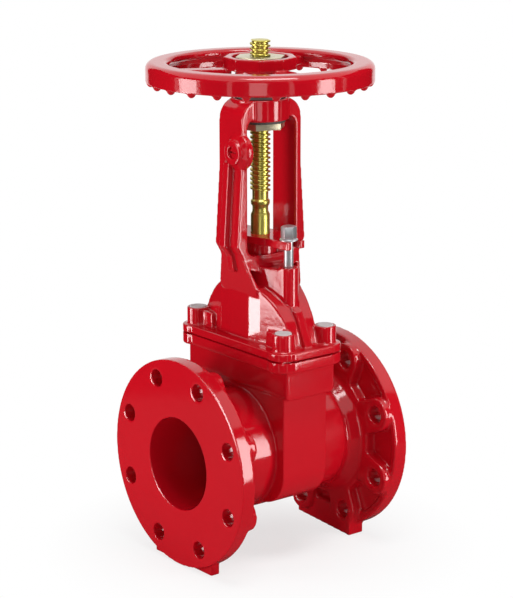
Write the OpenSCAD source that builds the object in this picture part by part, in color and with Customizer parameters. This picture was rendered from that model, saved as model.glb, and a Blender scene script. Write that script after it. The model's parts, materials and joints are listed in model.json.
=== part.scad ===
// Outside screw and yoke gate valve, flanged, with a rising stem and a handwheel.
// Origin on the floor under the stem; X along the pipe, Z up. Millimetres.

/* [Waterway] */
// Height of the pipe axis above the floor
axis_height = 115; // [115:0.5:130]
// Radius of the waterway
bore_r = 51; // [48:0.5:54]
// Distance between the two end faces
face_to_face = 229; // [225:1:260]

/* [End flanges] */
// Outer radius of an end flange
flange_r = 114.3; // [113:0.1:114.9]
// Thickness of an end flange at its bolt pads
flange_t = 25.5; // [23:0.5:28]
// Radius of the bolt circle
bolt_circle_r = 95.25; // [92:0.25:97]
// Radius of a flange bolt hole
bolt_hole_r = 9.5; // [8:0.25:11]
// Number of flange bolt holes
bolt_holes = 8; // [4:4:12]
// Radius of the thick pad behind a bolt hole
bolt_pad_r = 19; // [17:0.5:21]
// Thickness of the flange's rim between the bolt pads
rim_t = 17; // [15:0.5:20]
// Depth of the pockets inside that rim
pocket_depth = 3.5; // [2:0.5:5]
// Width of the rim outside the pockets
rim_w = 8; // [6:0.5:11]
// Half the width of a foot
foot_half_w = 51; // [45:0.5:56]
// Distance from an end face to its foot
foot_setback = 6.5; // [4:0.5:9]
// Length of a foot at its narrow end
foot_short = 11; // [8:0.5:14]
// Length of a foot at its wide end
foot_long = 21; // [18:0.5:24]

/* [Body] */
// Wall of the round barrels
barrel_wall = 10; // [8:0.5:11]
// Distance from the barrel's top to the pipe axis, beyond the barrel radius
barrel_rise = 5; // [3:0.5:7]
// Distance from the stem axis to the end of a barrel
barrel_end = 68; // [64:0.5:72]
// Outer radius of the neck behind a flange
neck_r = 62; // [60:0.5:66]
// Outer radius where the neck meets the flange
neck_foot_r = 70; // [68:0.5:73]
// Half the width of the gate chamber along the pipe
chamber_half_x = 30; // [28:0.5:33]
// Half the width of the gate chamber across the pipe
chamber_half_y = 77; // [74:0.5:80]
// Radius of the lower corners of the gate chamber
chamber_corner_r = 38; // [30:1:44]
// Wall of the gate chamber
chamber_wall = 7; // [6:0.5:9]
// Half the width of the upper box along the pipe
box_half_x = 33.5; // [32.5:0.5:36]
// Half the width of the upper box across the pipe
box_half_y = 86; // [84:0.5:89]
// Height of the box's lower edge above the pipe axis
box_bottom = 78; // [74:1:84]

/* [Bonnet joint] */
// Height of the joint face above the pipe axis
joint_z = 118; // [114:0.5:122]
// Thickness of the body's upper flange
body_lip_t = 12; // [10:0.5:14]
// Thickness of the bonnet's flange
bonnet_lip_t = 8; // [7:0.5:12]
// Half the width of the joint flanges along the pipe
lip_half_x = 44; // [42:0.5:47]
// Half the width of the joint flanges across the pipe
lip_half_y = 93; // [91:0.5:97]
// Corner cut of the joint flanges
lip_corner = 16; // [12:1:20]
// Thickness of the gasket
gasket_t = 2; // [1:0.25:3]
// Distance of a bonnet bolt from the stem along the pipe
boss_x = 29; // [28:0.25:31]
// Distance of a bonnet bolt from the stem across the pipe
boss_y = 74.8; // [73:0.25:77]
// Radius of a bonnet bolt boss
boss_r = 12; // [11:0.25:12.5]
// Height of a boss above the bonnet flange
boss_h = 19; // [17:0.5:22]
// Width of the block that ties a boss to the dome
boss_link_w = 13; // [10:0.5:16]
// Length of the block that ties a boss to the dome
boss_link_len = 28; // [24:1:34]
// Radius of a bonnet bolt
bonnet_bolt_r = 5; // [4:0.5:6]
// Radius of a bonnet bolt's head
bonnet_head_r = 9; // [8:0.25:9.5]
// Thickness of the wax over a bolt head
wax_t = 5; // [3:0.5:7]

/* [Gate] */
// How far the gate reaches past the waterway
seat_overlap = 3; // [2:0.5:4]
// Half the gate's thickness at the level of the pipe axis
gate_half_t = 12; // [11.5:0.25:12.5]
// Growth of the gate's half thickness for each millimetre of height
gate_taper = 0.055; // [0.045:0.005:0.06]
// Thickness of the rubber on the gate
rubber_t = 2.5; // [2:0.25:3]
// Gap between the closed gate and its seats
seat_gap = 0.4; // [0.3:0.05:0.6]
// Width of a seat ring outside the waterway
seat_w = 7; // [6:0.5:9]
// Gap between the gate and the chamber at its sides and bottom
gate_gap = 3.5; // [3:0.25:5]
// Extra lift once the gate's edge has cleared the waterway
extra_lift = 1; // [0:0.5:3]

/* [Dome] */
// Wall of the dome
dome_wall = 7; // [6:0.5:8]
// Half the width of the dome along the pipe at its middle
dome_half_x = 30; // [29:0.5:33]
// Half the length of the dome's wide middle
dome_mid_y = 25; // [22:1:28]
// Width of the slanting band between the dome's middle and its ends
dome_band_w = 18; // [12:0.5:20]
// Radius of the arch over the dome, seen along the pipe
arch_r = 78; // [76:0.5:80]
// Half the width of the dome along the pipe at its ends
dome_end_x = 17; // [15.5:0.5:19]
// Depth of the arch's centre below the joint face
arch_drop = 6; // [4:0.5:8]
// Height of the dome cavity's centre above the joint face
cavity_rise = 15; // [13:0.5:16]
// Room above the raised gate
top_room = 9; // [6:0.5:12]
// Solid cap above that room
cap_t = 17; // [12:0.5:22]

/* [Gland] */
// Distance of a gland bolt from the stem
gland_bolt_y = 48.4; // [46:0.2:50]
// Radius of a gland bolt
gland_bolt_r = 5; // [4.5:0.25:5.5]
// Distance from a gland bolt's axis to a corner of its head
gland_head_r = 8.6; // [8:0.2:9.4]
// Radius of the washer under a gland bolt's head
gland_washer_r = 9.8; // [9.6:0.2:11]
// Height of a gland bolt's head
gland_head_h = 13; // [11:0.5:15]
// Angle of a corner of a gland bolt's head
gland_head_angle = 21.4; // [0:0.1:60]
// Radius of a pillar that takes a gland bolt
pillar_r = 10.5; // [10:0.5:13]
// Height of a pillar's top above the dome's flat top
pillar_rise = 24; // [20:0.5:28]
// Gap between a pillar's top and the gland plate
gland_open = 21; // [16:0.5:24]
// Thickness of the gland plate
gland_plate_t = 8.5; // [7:0.5:10]
// Half the length of the gland plate
gland_half_y = 60.5; // [59:0.5:64]
// Half the width of the gland plate at its middle
gland_half_x = 22; // [20:0.5:24]
// Half the width of the gland plate at its ends
gland_end_x = 12; // [10.5:0.25:13]
// Half the width of the gland plate where its ears begin
gland_neck_x = 14.5; // [13.5:0.5:17]
// Distance from the stem to where the gland's ears begin
gland_neck_y = 28; // [24:1:32]
// Outer radius of the gland's sleeve
gland_sleeve_r = 18; // [16:0.5:20]
// Outer radius of the stuffing box
stuffing_r = 26; // [25:0.5:28]
// Thickness of a gland bolt's washer
washer_t = 2; // [1.5:0.25:3]
// Depth of a gland bolt's hole
gland_bolt_depth = 26; // [20:1:32]
// Half the thickness of the web between the pillars
web_half_x = 5; // [4:0.5:7]

/* [Yoke] */
// Distance from the stem to the inner face of an arm
window_half_x = 33; // [32:0.5:36]
// Thickness of an arm
arm_t = 7; // [6:0.5:9]
// Half the depth of an arm
arm_half_y = 20; // [18:0.5:21]
// Half the depth of the neck under the window
neck_half_y = 18; // [15:0.5:19]
// Half the depth of the neck where it meets the dome
neck_foot_y = 31; // [26:0.5:32]
// Depth of the neck's foot below the dome's flat top
neck_sink = 8; // [4:0.5:12]
// Height of the window's bottom above the dome's flat top
window_rise = 33.5; // [30:0.5:37]
// Height of the window
window_h = 147.5; // [142:0.5:180]
// Radius of the window's corners
window_corner_r = 10; // [6:0.5:14]
// Height of the crown above the window
crown_t = 20; // [18:0.5:24]
// Radius of the crown's shoulders
shoulder_r = 22; // [16:1:26]
// Radius of the nut housing
housing_r = 31; // [30:0.5:33]
// How much thicker an arm is at its foot
arm_flare = 6; // [2:0.5:8]
// Height of the rib on an arm's outer face
rib_h = 6.5; // [3:0.5:8]
// Width of the rib on an arm's outer face
rib_w = 10; // [7:0.5:12]
// Radius of the round lug on one arm
lug_r = 13; // [12:0.5:14.5]
// Radius of the swelling of the arm behind the lug
lug_base_r = 19.5; // [17:0.5:20.5]
// Length over which the swelling draws in to the lug
lug_cone_len = 5; // [3:0.5:7]
// Length of the round lug
lug_len = 15; // [12:0.5:18]
// Height of the round lug above the window's bottom
lug_rise = 114; // [108:0.5:117]
// Distance of the round lug's axis from the arm's middle plane
lug_y = -11.5; // [-14:0.5:-8]
// How far the round lug stands out of the arm's face
lug_stand = 8; // [5:0.5:10]
// Radius of the blind hole in the lug
lug_hole_r = 6.5; // [4:0.25:8]
// Depth of the blind hole in the lug
lug_hole_depth = 9; // [6:0.5:12]
// How deep the lug's plug is set
lug_plug_in = 3; // [1:0.5:5]

/* [Stem and nut] */
// Radius of the smooth stem
stem_r = 10.3; // [9.5:0.1:11]
// Outer radius of the thread
thread_r = 11; // [10.9:0.1:11.6]
// Depth of the thread
thread_depth = 2.2; // [1.5:0.1:2.6]
// Distance between threads
pitch = 5; // [4:0.25:6]
// Height of the thread's lower end above the window's bottom
thread_rise = 66.5; // [64:0.5:71]
// Length of the stem above the handwheel's hub
stem_above = 17.5; // [14:0.5:24]
// Gap between the thread and its nut
thread_gap = 0.3; // [0.25:0.05:0.4]
// Radius of the nut's round barrel
nut_r = 20; // [18:0.5:22]
// Distance from the stem to a corner of the nut's flange
nut_flange_r = 28; // [26:0.25:28]
// Thickness of the nut's flange
nut_flange_t = 6.5; // [5:0.5:8]
// Thickness of a thrust washer
thrust_t = 2.5; // [1.5:0.25:4]
// Distance across the nut's square end
nut_square = 31; // [28:0.5:33]
// Angle of a corner of the nut's flange
nut_angle = 41.9; // [0:0.1:60]
// Running gap between a turning piece and its seat
run_gap = 0.3; // [0.25:0.05:0.35]

/* [Handwheel] */
// Outer radius of the rim
wheel_r = 122; // [120:0.5:128]
// Width of the rim
wheel_rim_w = 24; // [20:0.5:27]
// Height of the rim
wheel_rim_h = 21; // [20:0.5:24]
// Height of the rim's underside above the hub's underside
rim_rise = 14.5; // [12:0.5:17]
// Radius of the rim's outer edge
rim_edge_r = 7.5; // [6:0.5:9]
// Height of the lip inside the rim
lip_h = 9; // [8:0.5:11]
// Thickness of the rim's skirt
skirt_t = 12; // [11:0.5:14]
// Height of the hub's crown
hub_h = 13.5; // [12:0.5:16]
// Height of the hub's crown above the rim
hub_rise = 5; // [3:0.5:7]
// Radius of the boss under the hub's crown
hub_boss_r = 27; // [25:0.5:30]
// Distance from the stem to a corner of the hub
hub_r = 39.5; // [38:0.5:43]
// Number of sides of the hub
hub_sides = 9; // [6:3:12]
// Number of spokes
spokes = 3; // [3:1:6]
// Width of a spoke
spoke_w = 17; // [12:0.5:20]
// Height of a spoke
spoke_h = 9; // [6:0.5:10]
// Depth of a spoke's top below the rim's top
spoke_drop = 7.5; // [6:0.5:9]
// Number of knobs under the rim
knobs = 24; // [12:4:36]
// Radius of a knob
knob_r = 4.5; // [3:0.5:5]
// How far a knob reaches below the rim
knob_drop = 5; // [3:0.5:6]
// Angle of the first spoke
wheel_turn = 29.4; // [0:0.1:120]
// Distance from the stem to a corner of the wheel nut
wheel_nut_r = 28; // [26:0.5:29]
// Height of the wheel nut
wheel_nut_h = 9; // [6:0.5:11]
// Thickness of the wheel nut's washer
wheel_washer_t = 2; // [1:0.25:3]

/* [Hidden] */
$fn = 96;
eps = 0.01;
fit_gap = 0.05;
slot_gap = 0.75;
tip_gap = 2;

// Cast details of the bonnet.
bowl_rim = 12;
bowl_edge = 2;
bowl_mid_t = 11;
bowl_mid_x = 34;
bowl_t = 17.5;
bowl_low_x = 19;
web_drop = 3;
link_drop = 3;
boss_link_in = 5;
toe_fall = 4;
toe_under_hole = 16;
toe_bend_y = 66;
toe_low_y = 73;
toe_low_h = 21;
toe_y = 84;
housing_drop = 3;
lip_bulge = 5;
gasket_inset_x = 4;
gasket_inset_y = 6;
sleeve_depth = 8;
packing_floor = 6;

// Lengths hidden in the stem and the handwheel.
shoulder_gap = 4;
stem_end_len = 36;
spoke_root = 8;

// Cast details of the body.
neck_overlap = 2;
pocket_neck_gap = 6;
neck_flare_len = 14;
corner_drop = 14;
foot_top = axis_height - bolt_circle_r + bolt_pad_r / 2;

// Gate and its travel, measured from the pipe axis.
gate_r = bore_r + seat_overlap;
lift = bore_r + gate_r + extra_lift;
chamber_r = gate_r + gate_gap;
box_in_x = box_half_x - chamber_wall;
box_in_y = box_half_y - chamber_wall;
chamber_in_x = chamber_half_x - chamber_wall;
chamber_bottom = chamber_r + chamber_wall;

// Levels, measured from the pipe axis.
bonnet_z = joint_z + gasket_t;
bonnet_lip_top = bonnet_z + bonnet_lip_t;
boss_top = bonnet_lip_top + boss_h;
arch_z = bonnet_z - arch_drop;
cavity_z = bonnet_z + cavity_rise;
dome_in_top = lift + gate_r + top_room;
dome_top = dome_in_top + cap_t;
pillar_top = dome_top + pillar_rise;
toe_top = pillar_top - gland_bolt_depth - toe_under_hole;
window_bottom = dome_top + window_rise;
window_top = window_bottom + window_h;
crown_top = window_top + crown_t;
gland_z = pillar_top + gland_open;
gland_top = gland_z + gland_plate_t;
lug_z = window_bottom + lug_rise;
lug_face = -window_half_x - arm_t - lug_stand;
neck_x = window_half_x + arm_t;
housing_bottom = window_top - housing_drop;
nut_flange_top = housing_bottom - thrust_t - 2 * run_gap;
nut_bottom = nut_flange_top - nut_flange_t;
hub_bottom = crown_top + thrust_t + 2 * run_gap;
rim_bottom = hub_bottom + rim_rise;
rim_top = rim_bottom + wheel_rim_h;
hub_top = rim_top + hub_rise;
spoke_z = rim_top - spoke_drop - spoke_h;
recess_z = hub_top - wheel_nut_h - wheel_washer_t;
stem_top = hub_top + stem_above;
stem_shoulder = gate_r + shoulder_gap;
thread_bottom = window_bottom + thread_rise;
thread_len = stem_top - thread_bottom;

// Gland stack
packing_top = pillar_top - sleeve_depth;
packing_r = gland_sleeve_r + 0.3;
packing_bottom = dome_in_top + packing_floor;

gland_waist_y = gland_sleeve_r / 3;

// Bonnet bolts
bonnet_head_h = 8;
bonnet_socket_r = 4;
bonnet_socket_depth = 4;
bolt_cover = 3.5;
wax_proud = 0.6;
bolt_head_z = boss_top - wax_t - bonnet_head_h;
bolt_tip = joint_z - body_lip_t + bolt_cover;

module at_axis() translate([0, 0, axis_height]) children();

// A cylinder along X from x0 to x1, centred at height z.
module x_cylinder(r, x0, x1, z = 0, y = 0)
    translate([x0, y, z]) rotate([0, 90, 0]) cylinder(r = r, h = x1 - x0);

// An outline drawn in the YZ plane, extruded along X about the stem.
module across_pipe(half_x)
    rotate([90, 0, 90]) translate([0, 0, -half_x]) linear_extrude(2 * half_x) children();

// An outline drawn in the XZ plane, extruded along Y about the stem.
module along_pipe(half_y)
    rotate([90, 0, 0]) translate([0, 0, -half_y]) linear_extrude(2 * half_y) children();

module both_ends() {
    children();
    rotate([0, 0, 180]) children();
}

module four_corners() {
    for (sx = [-1, 1], sy = [-1, 1]) translate([sx * boss_x, sy * boss_y, 0]) children();
}

// ---------- Body ----------

// One end flange, seen from the stem towards -X: front face at -face_to_face / 2.
module end_flange() {
    front = -face_to_face / 2;
    difference() {
        union() {
            x_cylinder(flange_r, front, front + rim_t);
            x_cylinder(neck_foot_r + pocket_neck_gap, front, front + flange_t);
            bolt_pads();
            translate([0, 0, -axis_height]) foot();
        }
        flange_pockets();
        flange_bolt_holes();
    }
}

// A thick pad behind each bolt hole, as wide as the hole's place at the rim.
module bolt_pads() intersection() {
    front = -face_to_face / 2;
    x_cylinder(flange_r - eps, front, front + flange_t);
    for (i = [0 : bolt_holes - 1]) rotate([(i + 0.5) * 360 / bolt_holes, 0, 0]) {
        translate([0, bolt_circle_r, 0]) x_cylinder(bolt_pad_r, front, front + flange_t);
        translate([front, neck_foot_r, -bolt_pad_r]) cube([flange_t, bolt_circle_r - neck_foot_r, 2 * bolt_pad_r]);
    }
}

module foot() {
    front = -face_to_face / 2 + foot_setback;
    linear_extrude(foot_top)
        polygon([[front, -foot_half_w], [front + foot_short, -foot_half_w],
            [front + foot_long, foot_half_w], [front, foot_half_w]]);
}

module flange_pockets() {
    front = -face_to_face / 2;
    floor_x = front + rim_t - pocket_depth;
    intersection() {
        difference() {
            x_cylinder(flange_r - rim_w, floor_x, front + flange_t + 1);
            x_cylinder(neck_foot_r + pocket_neck_gap, floor_x - 1, front + flange_t + 2);
            translate([-1, 0, 0]) bolt_pads();
            translate([1, 0, 0]) bolt_pads();
        }
        translate([floor_x - 1, -flange_r, foot_top - axis_height])
            cube([flange_t, 2 * flange_r, 2 * axis_height]);
    }
}

module flange_bolt_holes() {
    front = -face_to_face / 2;
    for (i = [0 : bolt_holes - 1]) rotate([(i + 0.5) * 360 / bolt_holes, 0, 0])
        translate([0, bolt_circle_r, 0]) x_cylinder(bolt_hole_r, front - 1, front + flange_t + 1);
}

// Barrel, neck and the flare onto the flange, turned about the pipe axis.
module barrel() {
    barrel_r = bore_r + barrel_wall;
    back = -face_to_face / 2 + flange_t;
    x_cylinder(barrel_r + barrel_rise, -barrel_end, 0, barrel_rise);
    rotate([0, -90, 0]) rotate_extrude()
        polygon([[0, 0], [neck_r, 0], [neck_r, -back - neck_flare_len], [neck_foot_r, -back],
            [neck_foot_r, -back + neck_overlap], [0, -back + neck_overlap]]);
}

// A round bottom about the pipe, widened by two round lower corners.
module chamber_outline() {
    r = chamber_corner_r;
    corner_z = r - chamber_bottom + corner_drop;
    circle(r = chamber_bottom);
    for (side = [-1, 1]) translate([side * (chamber_half_y - r), corner_z]) circle(r = r);
    polygon([[-chamber_half_y, corner_z], [chamber_half_y, corner_z],
        [chamber_half_y, joint_z - 1], [-chamber_half_y, joint_z - 1]]);
    polygon([[-chamber_half_y + r, corner_z - r], [-chamber_half_y + r, 0],
        [chamber_half_y - r, 0], [chamber_half_y - r, corner_z - r],
        [chamber_bottom * sin(20), -chamber_bottom * cos(20)],
        [-chamber_bottom * sin(20), -chamber_bottom * cos(20)]]);
}

module box() {
    taper = box_half_x - chamber_half_x;
    along_pipe(box_half_y)
        polygon([[-chamber_half_x, box_bottom - taper], [chamber_half_x, box_bottom - taper],
            [box_half_x, box_bottom], [box_half_x, joint_z - eps],
            [-box_half_x, joint_z - eps], [-box_half_x, box_bottom]]);
}

// Outline of both joint flanges: a long octagon with a bulge round each boss.
module lip_outline() {
    x = lip_half_x;
    y = lip_half_y;
    c = lip_corner;
    polygon([[-x, -y + c], [-x + c, -y], [x - c, -y], [x, -y + c],
        [x, y - c], [x - c, y], [-x + c, y], [-x, y - c]]);
    for (sx = [-1, 1], sy = [-1, 1]) translate([sx * boss_x, sy * boss_y]) circle(r = boss_r + lip_bulge);
}

module body_cavity() {
    across_pipe(chamber_in_x) {
        circle(r = chamber_r);
        translate([-chamber_r, 0]) square([2 * chamber_r, joint_z + 1]);
    }
    translate([-box_in_x, -chamber_r, box_bottom]) cube([2 * box_in_x, 2 * chamber_r, joint_z - box_bottom + 1]);
}

// The wedge that the gate fills, grown by gap on both faces.
module wedge(gap, low, high, half_y)
    along_pipe(half_y)
        polygon([[-wedge_x(low) - gap, low], [wedge_x(low) + gap, low],
            [wedge_x(high) + gap, high], [-wedge_x(high) - gap, high]]);

function wedge_x(z) = gate_half_t + gate_taper * z;

module seat_rings() {
    ring_r = bore_r + seat_w;
    difference() {
        intersection() {
            x_cylinder(ring_r, -chamber_in_x - 1, chamber_in_x + 1);
            across_pipe(chamber_in_x + 2) {
                circle(r = chamber_r + 1);
                translate([-chamber_r - 1, 0]) square(2 * chamber_r + 2);
            }
        }
        wedge(seat_gap, -ring_r - 1, ring_r + 1, ring_r + 2);
    }
}

module body() color([0.70, 0.07, 0.10]) at_axis() {
    difference() {
        union() {
            both_ends() {
                end_flange();
                barrel();
            }
            across_pipe(chamber_half_x) chamber_outline();
            box();
            translate([0, 0, joint_z - body_lip_t]) linear_extrude(body_lip_t) lip_outline();
        }
        difference() {
            body_cavity();
            seat_rings();
        }
        x_cylinder(bore_r, -face_to_face / 2 - 1, face_to_face / 2 + 1);
        four_corners() translate([0, 0, bolt_tip - tip_gap])
            cylinder(r = bonnet_bolt_r + fit_gap, h = joint_z - bolt_tip + 2 * tip_gap);
    }
}

// ---------- Bonnet and yoke ----------

module dome_outline() intersection() {
    translate([0, arch_z]) circle(r = arch_r);
    translate([-arch_r, bonnet_z]) square([2 * arch_r, dome_top - bonnet_z]);
}

// Plan of the dome: a flat middle, a narrow slanting band, and tapered ends.
module dome_plan() {
    slope = (dome_half_x - dome_end_x) / (arch_r - dome_mid_y);
    quarter = [[dome_half_x, dome_mid_y - dome_band_w / 2],
        [dome_half_x - slope * dome_band_w / 2, dome_mid_y + dome_band_w / 2], [dome_end_x, arch_r + 1]];
    polygon([for (p = quarter) p, for (i = [2 : -1 : 0]) [-quarter[i].x, quarter[i].y],
        for (p = quarter) [-p.x, -p.y], for (i = [2 : -1 : 0]) [quarter[i].x, -quarter[i].y]]);
}

module dome() intersection() {
    across_pipe(dome_half_x) dome_outline();
    linear_extrude(dome_top + 1) dome_plan();
}

module dome_cavity() {
    slope = (dome_half_x - dome_end_x) / (arch_r - dome_mid_y);
    inner_x = dome_half_x - dome_wall;
    end_x = inner_x - slope * (chamber_r + 1 - dome_mid_y);
    intersection() {
        across_pipe(inner_x) intersection() {
            union() {
                translate([0, cavity_z]) circle(r = chamber_r);
                translate([-chamber_r, bonnet_z - 1]) square([2 * chamber_r, cavity_rise + 1]);
            }
            translate([-chamber_r, bonnet_z - 1]) square([2 * chamber_r, dome_in_top - bonnet_z + 1]);
        }
        linear_extrude(dome_in_top + 1) polygon([[-inner_x, -dome_mid_y], [-end_x, -chamber_r - 1],
            [end_x, -chamber_r - 1], [inner_x, -dome_mid_y], [inner_x, dome_mid_y], [end_x, chamber_r + 1],
            [-end_x, chamber_r + 1], [-inner_x, dome_mid_y]]);
    }
}

module pillar_and_web() {
    for (side = [-1, 1]) translate([0, side * gland_bolt_y, bonnet_lip_top])
        cylinder(r = pillar_r, h = pillar_top - bonnet_lip_top);
    translate([-web_half_x, -gland_bolt_y, bonnet_lip_top])
        cube([2 * web_half_x, 2 * gland_bolt_y, pillar_top - web_drop - bonnet_lip_top]);
}

// The web goes on below each pillar as a rib, over the arch and down to the joint flange.
module toe_ribs() across_pipe(web_half_x) for (side = [-1, 1])
    polygon([[side * gland_bolt_y, bonnet_lip_top - 1], [side * gland_bolt_y, toe_top],
        [side * (gland_bolt_y + pillar_r), toe_top], [side * toe_bend_y, toe_top - toe_fall],
        [side * toe_low_y, bonnet_lip_top + toe_low_h], [side * toe_y, bonnet_lip_top - 1]]);

module boss_links() {
    for (sx = [-1, 1], sy = [-1, 1]) {
        translate([sx * (boss_x - boss_link_in) - boss_link_w / 2, min(sy * boss_y, sy * (boss_y - boss_link_len)), bonnet_z])
            cube([boss_link_w, boss_link_len, boss_top - bonnet_z - link_drop]);
    }
}

// The window's frame with its bowl-shaped bottom, and a narrower neck from there down into the dome.
module yoke_frame() {
    outer_x = window_half_x + arm_t;
    foot_x = outer_x + arm_flare;
    flare_top = lug_z - lug_r;
    along_pipe(arm_half_y) difference() {
        union() {
            polygon([[-foot_x, window_bottom + bowl_rim], [-outer_x, window_bottom + bowl_edge],
                [-bowl_mid_x, window_bottom - bowl_mid_t], [-bowl_low_x, window_bottom - bowl_t],
                [bowl_low_x, window_bottom - bowl_t], [bowl_mid_x, window_bottom - bowl_mid_t],
                [outer_x, window_bottom + bowl_edge], [foot_x, window_bottom + bowl_rim],
                [outer_x, flare_top], [outer_x, crown_top - shoulder_r], [-outer_x, crown_top - shoulder_r],
                [-outer_x, flare_top]]);
            translate([-outer_x + shoulder_r, window_top]) square([2 * (outer_x - shoulder_r), crown_t]);
            for (side = [-1, 1])
                translate([side * (outer_x - shoulder_r), crown_top - shoulder_r]) circle(r = shoulder_r);
        }
        window_outline();
    }
    along_pipe(rib_w / 2) for (side = [-1, 1])
        polygon([[side * window_half_x, window_bottom - bowl_t], [side * neck_x, window_bottom - bowl_t],
            [side * (neck_x + rib_h / 2), window_bottom], [side * (foot_x + rib_h), window_bottom + bowl_rim],
            [side * (outer_x + rib_h), flare_top], [side * outer_x, flare_top + rib_h],
            [side * window_half_x, flare_top + rib_h]]);
}

// Narrow across the arms at its top, deep across them at its foot.
module neck() {
    top = window_bottom + bowl_edge;
    foot = dome_top - neck_sink;
    difference() {
        intersection() {
            along_pipe(neck_foot_y + 1)
                polygon([[-neck_x, top], [-dome_half_x, foot], [dome_half_x, foot], [neck_x, top]]);
            across_pipe(neck_x + 1)
                polygon([[-neck_half_y, top], [-neck_foot_y, dome_top], [-neck_foot_y, foot],
                    [neck_foot_y, foot], [neck_foot_y, dome_top], [neck_half_y, top]]);
        }
        along_pipe(neck_foot_y + 2) window_outline();
    }
}

module window_outline() {
    r = window_corner_r;
    x = window_half_x;
    translate([-x, window_bottom + r]) square([2 * x, window_h - 2 * r]);
    translate([-x + r, window_bottom]) square([2 * (x - r), window_h]);
    for (side = [-1, 1], z = [window_bottom + r, window_top - r]) translate([side * (x - r), z]) circle(r = r);
}

module switch_lug() {
    arm_x = -window_half_x - arm_t;
    x_cylinder(lug_r, lug_face, lug_face + lug_len, lug_z, lug_y);
    x_cylinder(lug_base_r, arm_x, -window_half_x, lug_z, lug_y);
    translate([arm_x, lug_y, lug_z]) rotate([0, -90, 0]) cylinder(r1 = lug_base_r, r2 = lug_r, h = lug_cone_len);
}

module bonnet() color([0.70, 0.07, 0.10]) at_axis() {
    difference() {
        union() {
            translate([0, 0, bonnet_z]) linear_extrude(bonnet_lip_t) lip_outline();
            dome();
            four_corners() translate([0, 0, bonnet_z]) cylinder(r = boss_r, h = boss_top - bonnet_z);
            boss_links();
            pillar_and_web();
            translate([0, 0, dome_top - 1]) cylinder(r = stuffing_r, h = pillar_top - dome_top + 1);
            yoke_frame();
            neck();
            toe_ribs();
            translate([0, 0, housing_bottom]) cylinder(r = housing_r, h = crown_top - housing_bottom);
            switch_lug();
        }
        dome_cavity();
        stem_passage();
        four_corners() bonnet_bolt_holes();
        for (side = [-1, 1]) translate([0, side * gland_bolt_y, pillar_top - gland_bolt_depth])
            cylinder(r = gland_bolt_r + fit_gap, h = gland_bolt_depth + 1);
        translate([0, 0, housing_bottom - 1]) cylinder(r = nut_r + fit_gap, h = crown_top - housing_bottom + 2);
        x_cylinder(lug_hole_r, lug_face - 1, lug_face + lug_hole_depth, lug_z, lug_y);
    }
}

module stem_passage() {
    translate([0, 0, dome_in_top - 1]) cylinder(r = stem_r + run_gap, h = packing_bottom - dome_in_top + 2);
    translate([0, 0, packing_bottom]) cylinder(r = packing_r, h = window_bottom - packing_bottom + 2);
}

module bonnet_bolt_holes() {
    translate([0, 0, bonnet_z - 1]) cylinder(r = bonnet_bolt_r + fit_gap, h = boss_top - bonnet_z + 2);
    translate([0, 0, bolt_head_z]) cylinder(r = bonnet_head_r + fit_gap, h = boss_top - bolt_head_z + 1);
}

module bonnet_gasket() color([0.08, 0.08, 0.09]) at_axis()
    translate([0, 0, joint_z]) linear_extrude(gasket_t) difference() {
        square([2 * (lip_half_x - gasket_inset_x), 2 * (lip_half_y - gasket_inset_y)], center = true);
        square([2 * box_in_x, 2 * chamber_r], center = true);
        for (sx = [-1, 1], sy = [-1, 1]) translate([sx * boss_x, sy * boss_y]) circle(r = bonnet_bolt_r + fit_gap);
    }

module bonnet_bolt(sx, sy) color([0.62, 0.62, 0.64]) at_axis()
    translate([sx * boss_x, sy * boss_y, 0]) difference() {
        union() {
            translate([0, 0, bolt_tip]) cylinder(r = bonnet_bolt_r, h = bolt_head_z - bolt_tip + eps);
            translate([0, 0, bolt_head_z]) cylinder(r = bonnet_head_r, h = bonnet_head_h);
        }
        translate([0, 0, bolt_head_z + bonnet_head_h - bonnet_socket_depth])
            cylinder(r = bonnet_socket_r, h = bonnet_socket_depth + 1, $fn = 6);
    }

module wax_plug(sx, sy) color([0.80, 0.78, 0.78]) at_axis()
    translate([sx * boss_x, sy * boss_y, bolt_head_z + bonnet_head_h]) cylinder(r = bonnet_head_r, h = wax_t + wax_proud);

// ---------- Gland ----------

module gland() color([0.70, 0.07, 0.10]) at_axis() {
    difference() {
        union() {
            translate([0, 0, gland_z]) linear_extrude(gland_plate_t) gland_outline();
            translate([0, 0, packing_top]) cylinder(r = gland_sleeve_r, h = gland_z - packing_top + 1);
        }
        translate([0, 0, packing_top - 1]) cylinder(r = stem_r + run_gap, h = gland_top - packing_top + 2);
        for (side = [-1, 1]) translate([0, side * gland_bolt_y, gland_z - 1]) {
            cylinder(r = gland_bolt_r + slot_gap, h = gland_plate_t + 2);
            translate([-gland_bolt_r - slot_gap, side > 0 ? 0 : -gland_half_y, 0])
                cube([2 * (gland_bolt_r + slot_gap), gland_half_y, gland_plate_t + 2]);
        }
    }
}

module gland_outline() {
    ear = [[gland_half_x, gland_waist_y], [gland_neck_x, gland_neck_y], [gland_end_x, gland_half_y]];
    polygon([for (p = ear) p, for (i = [2 : -1 : 0]) [-ear[i].x, ear[i].y],
        for (p = ear) [-p.x, -p.y], for (i = [2 : -1 : 0]) [ear[i].x, -ear[i].y]]);
}

module gland_packing() color([0.15, 0.15, 0.16]) at_axis()
    translate([0, 0, packing_bottom]) difference() {
        cylinder(r = gland_sleeve_r, h = packing_top - packing_bottom);
        translate([0, 0, -1]) cylinder(r = stem_r + run_gap, h = packing_top - packing_bottom + 2);
    }

module gland_washer(side) color([0.62, 0.62, 0.64]) at_axis()
    translate([0, side * gland_bolt_y, gland_top]) difference() {
        cylinder(r = gland_washer_r, h = washer_t);
        translate([0, 0, -1]) cylinder(r = gland_bolt_r + run_gap, h = washer_t + 2);
    }

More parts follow.
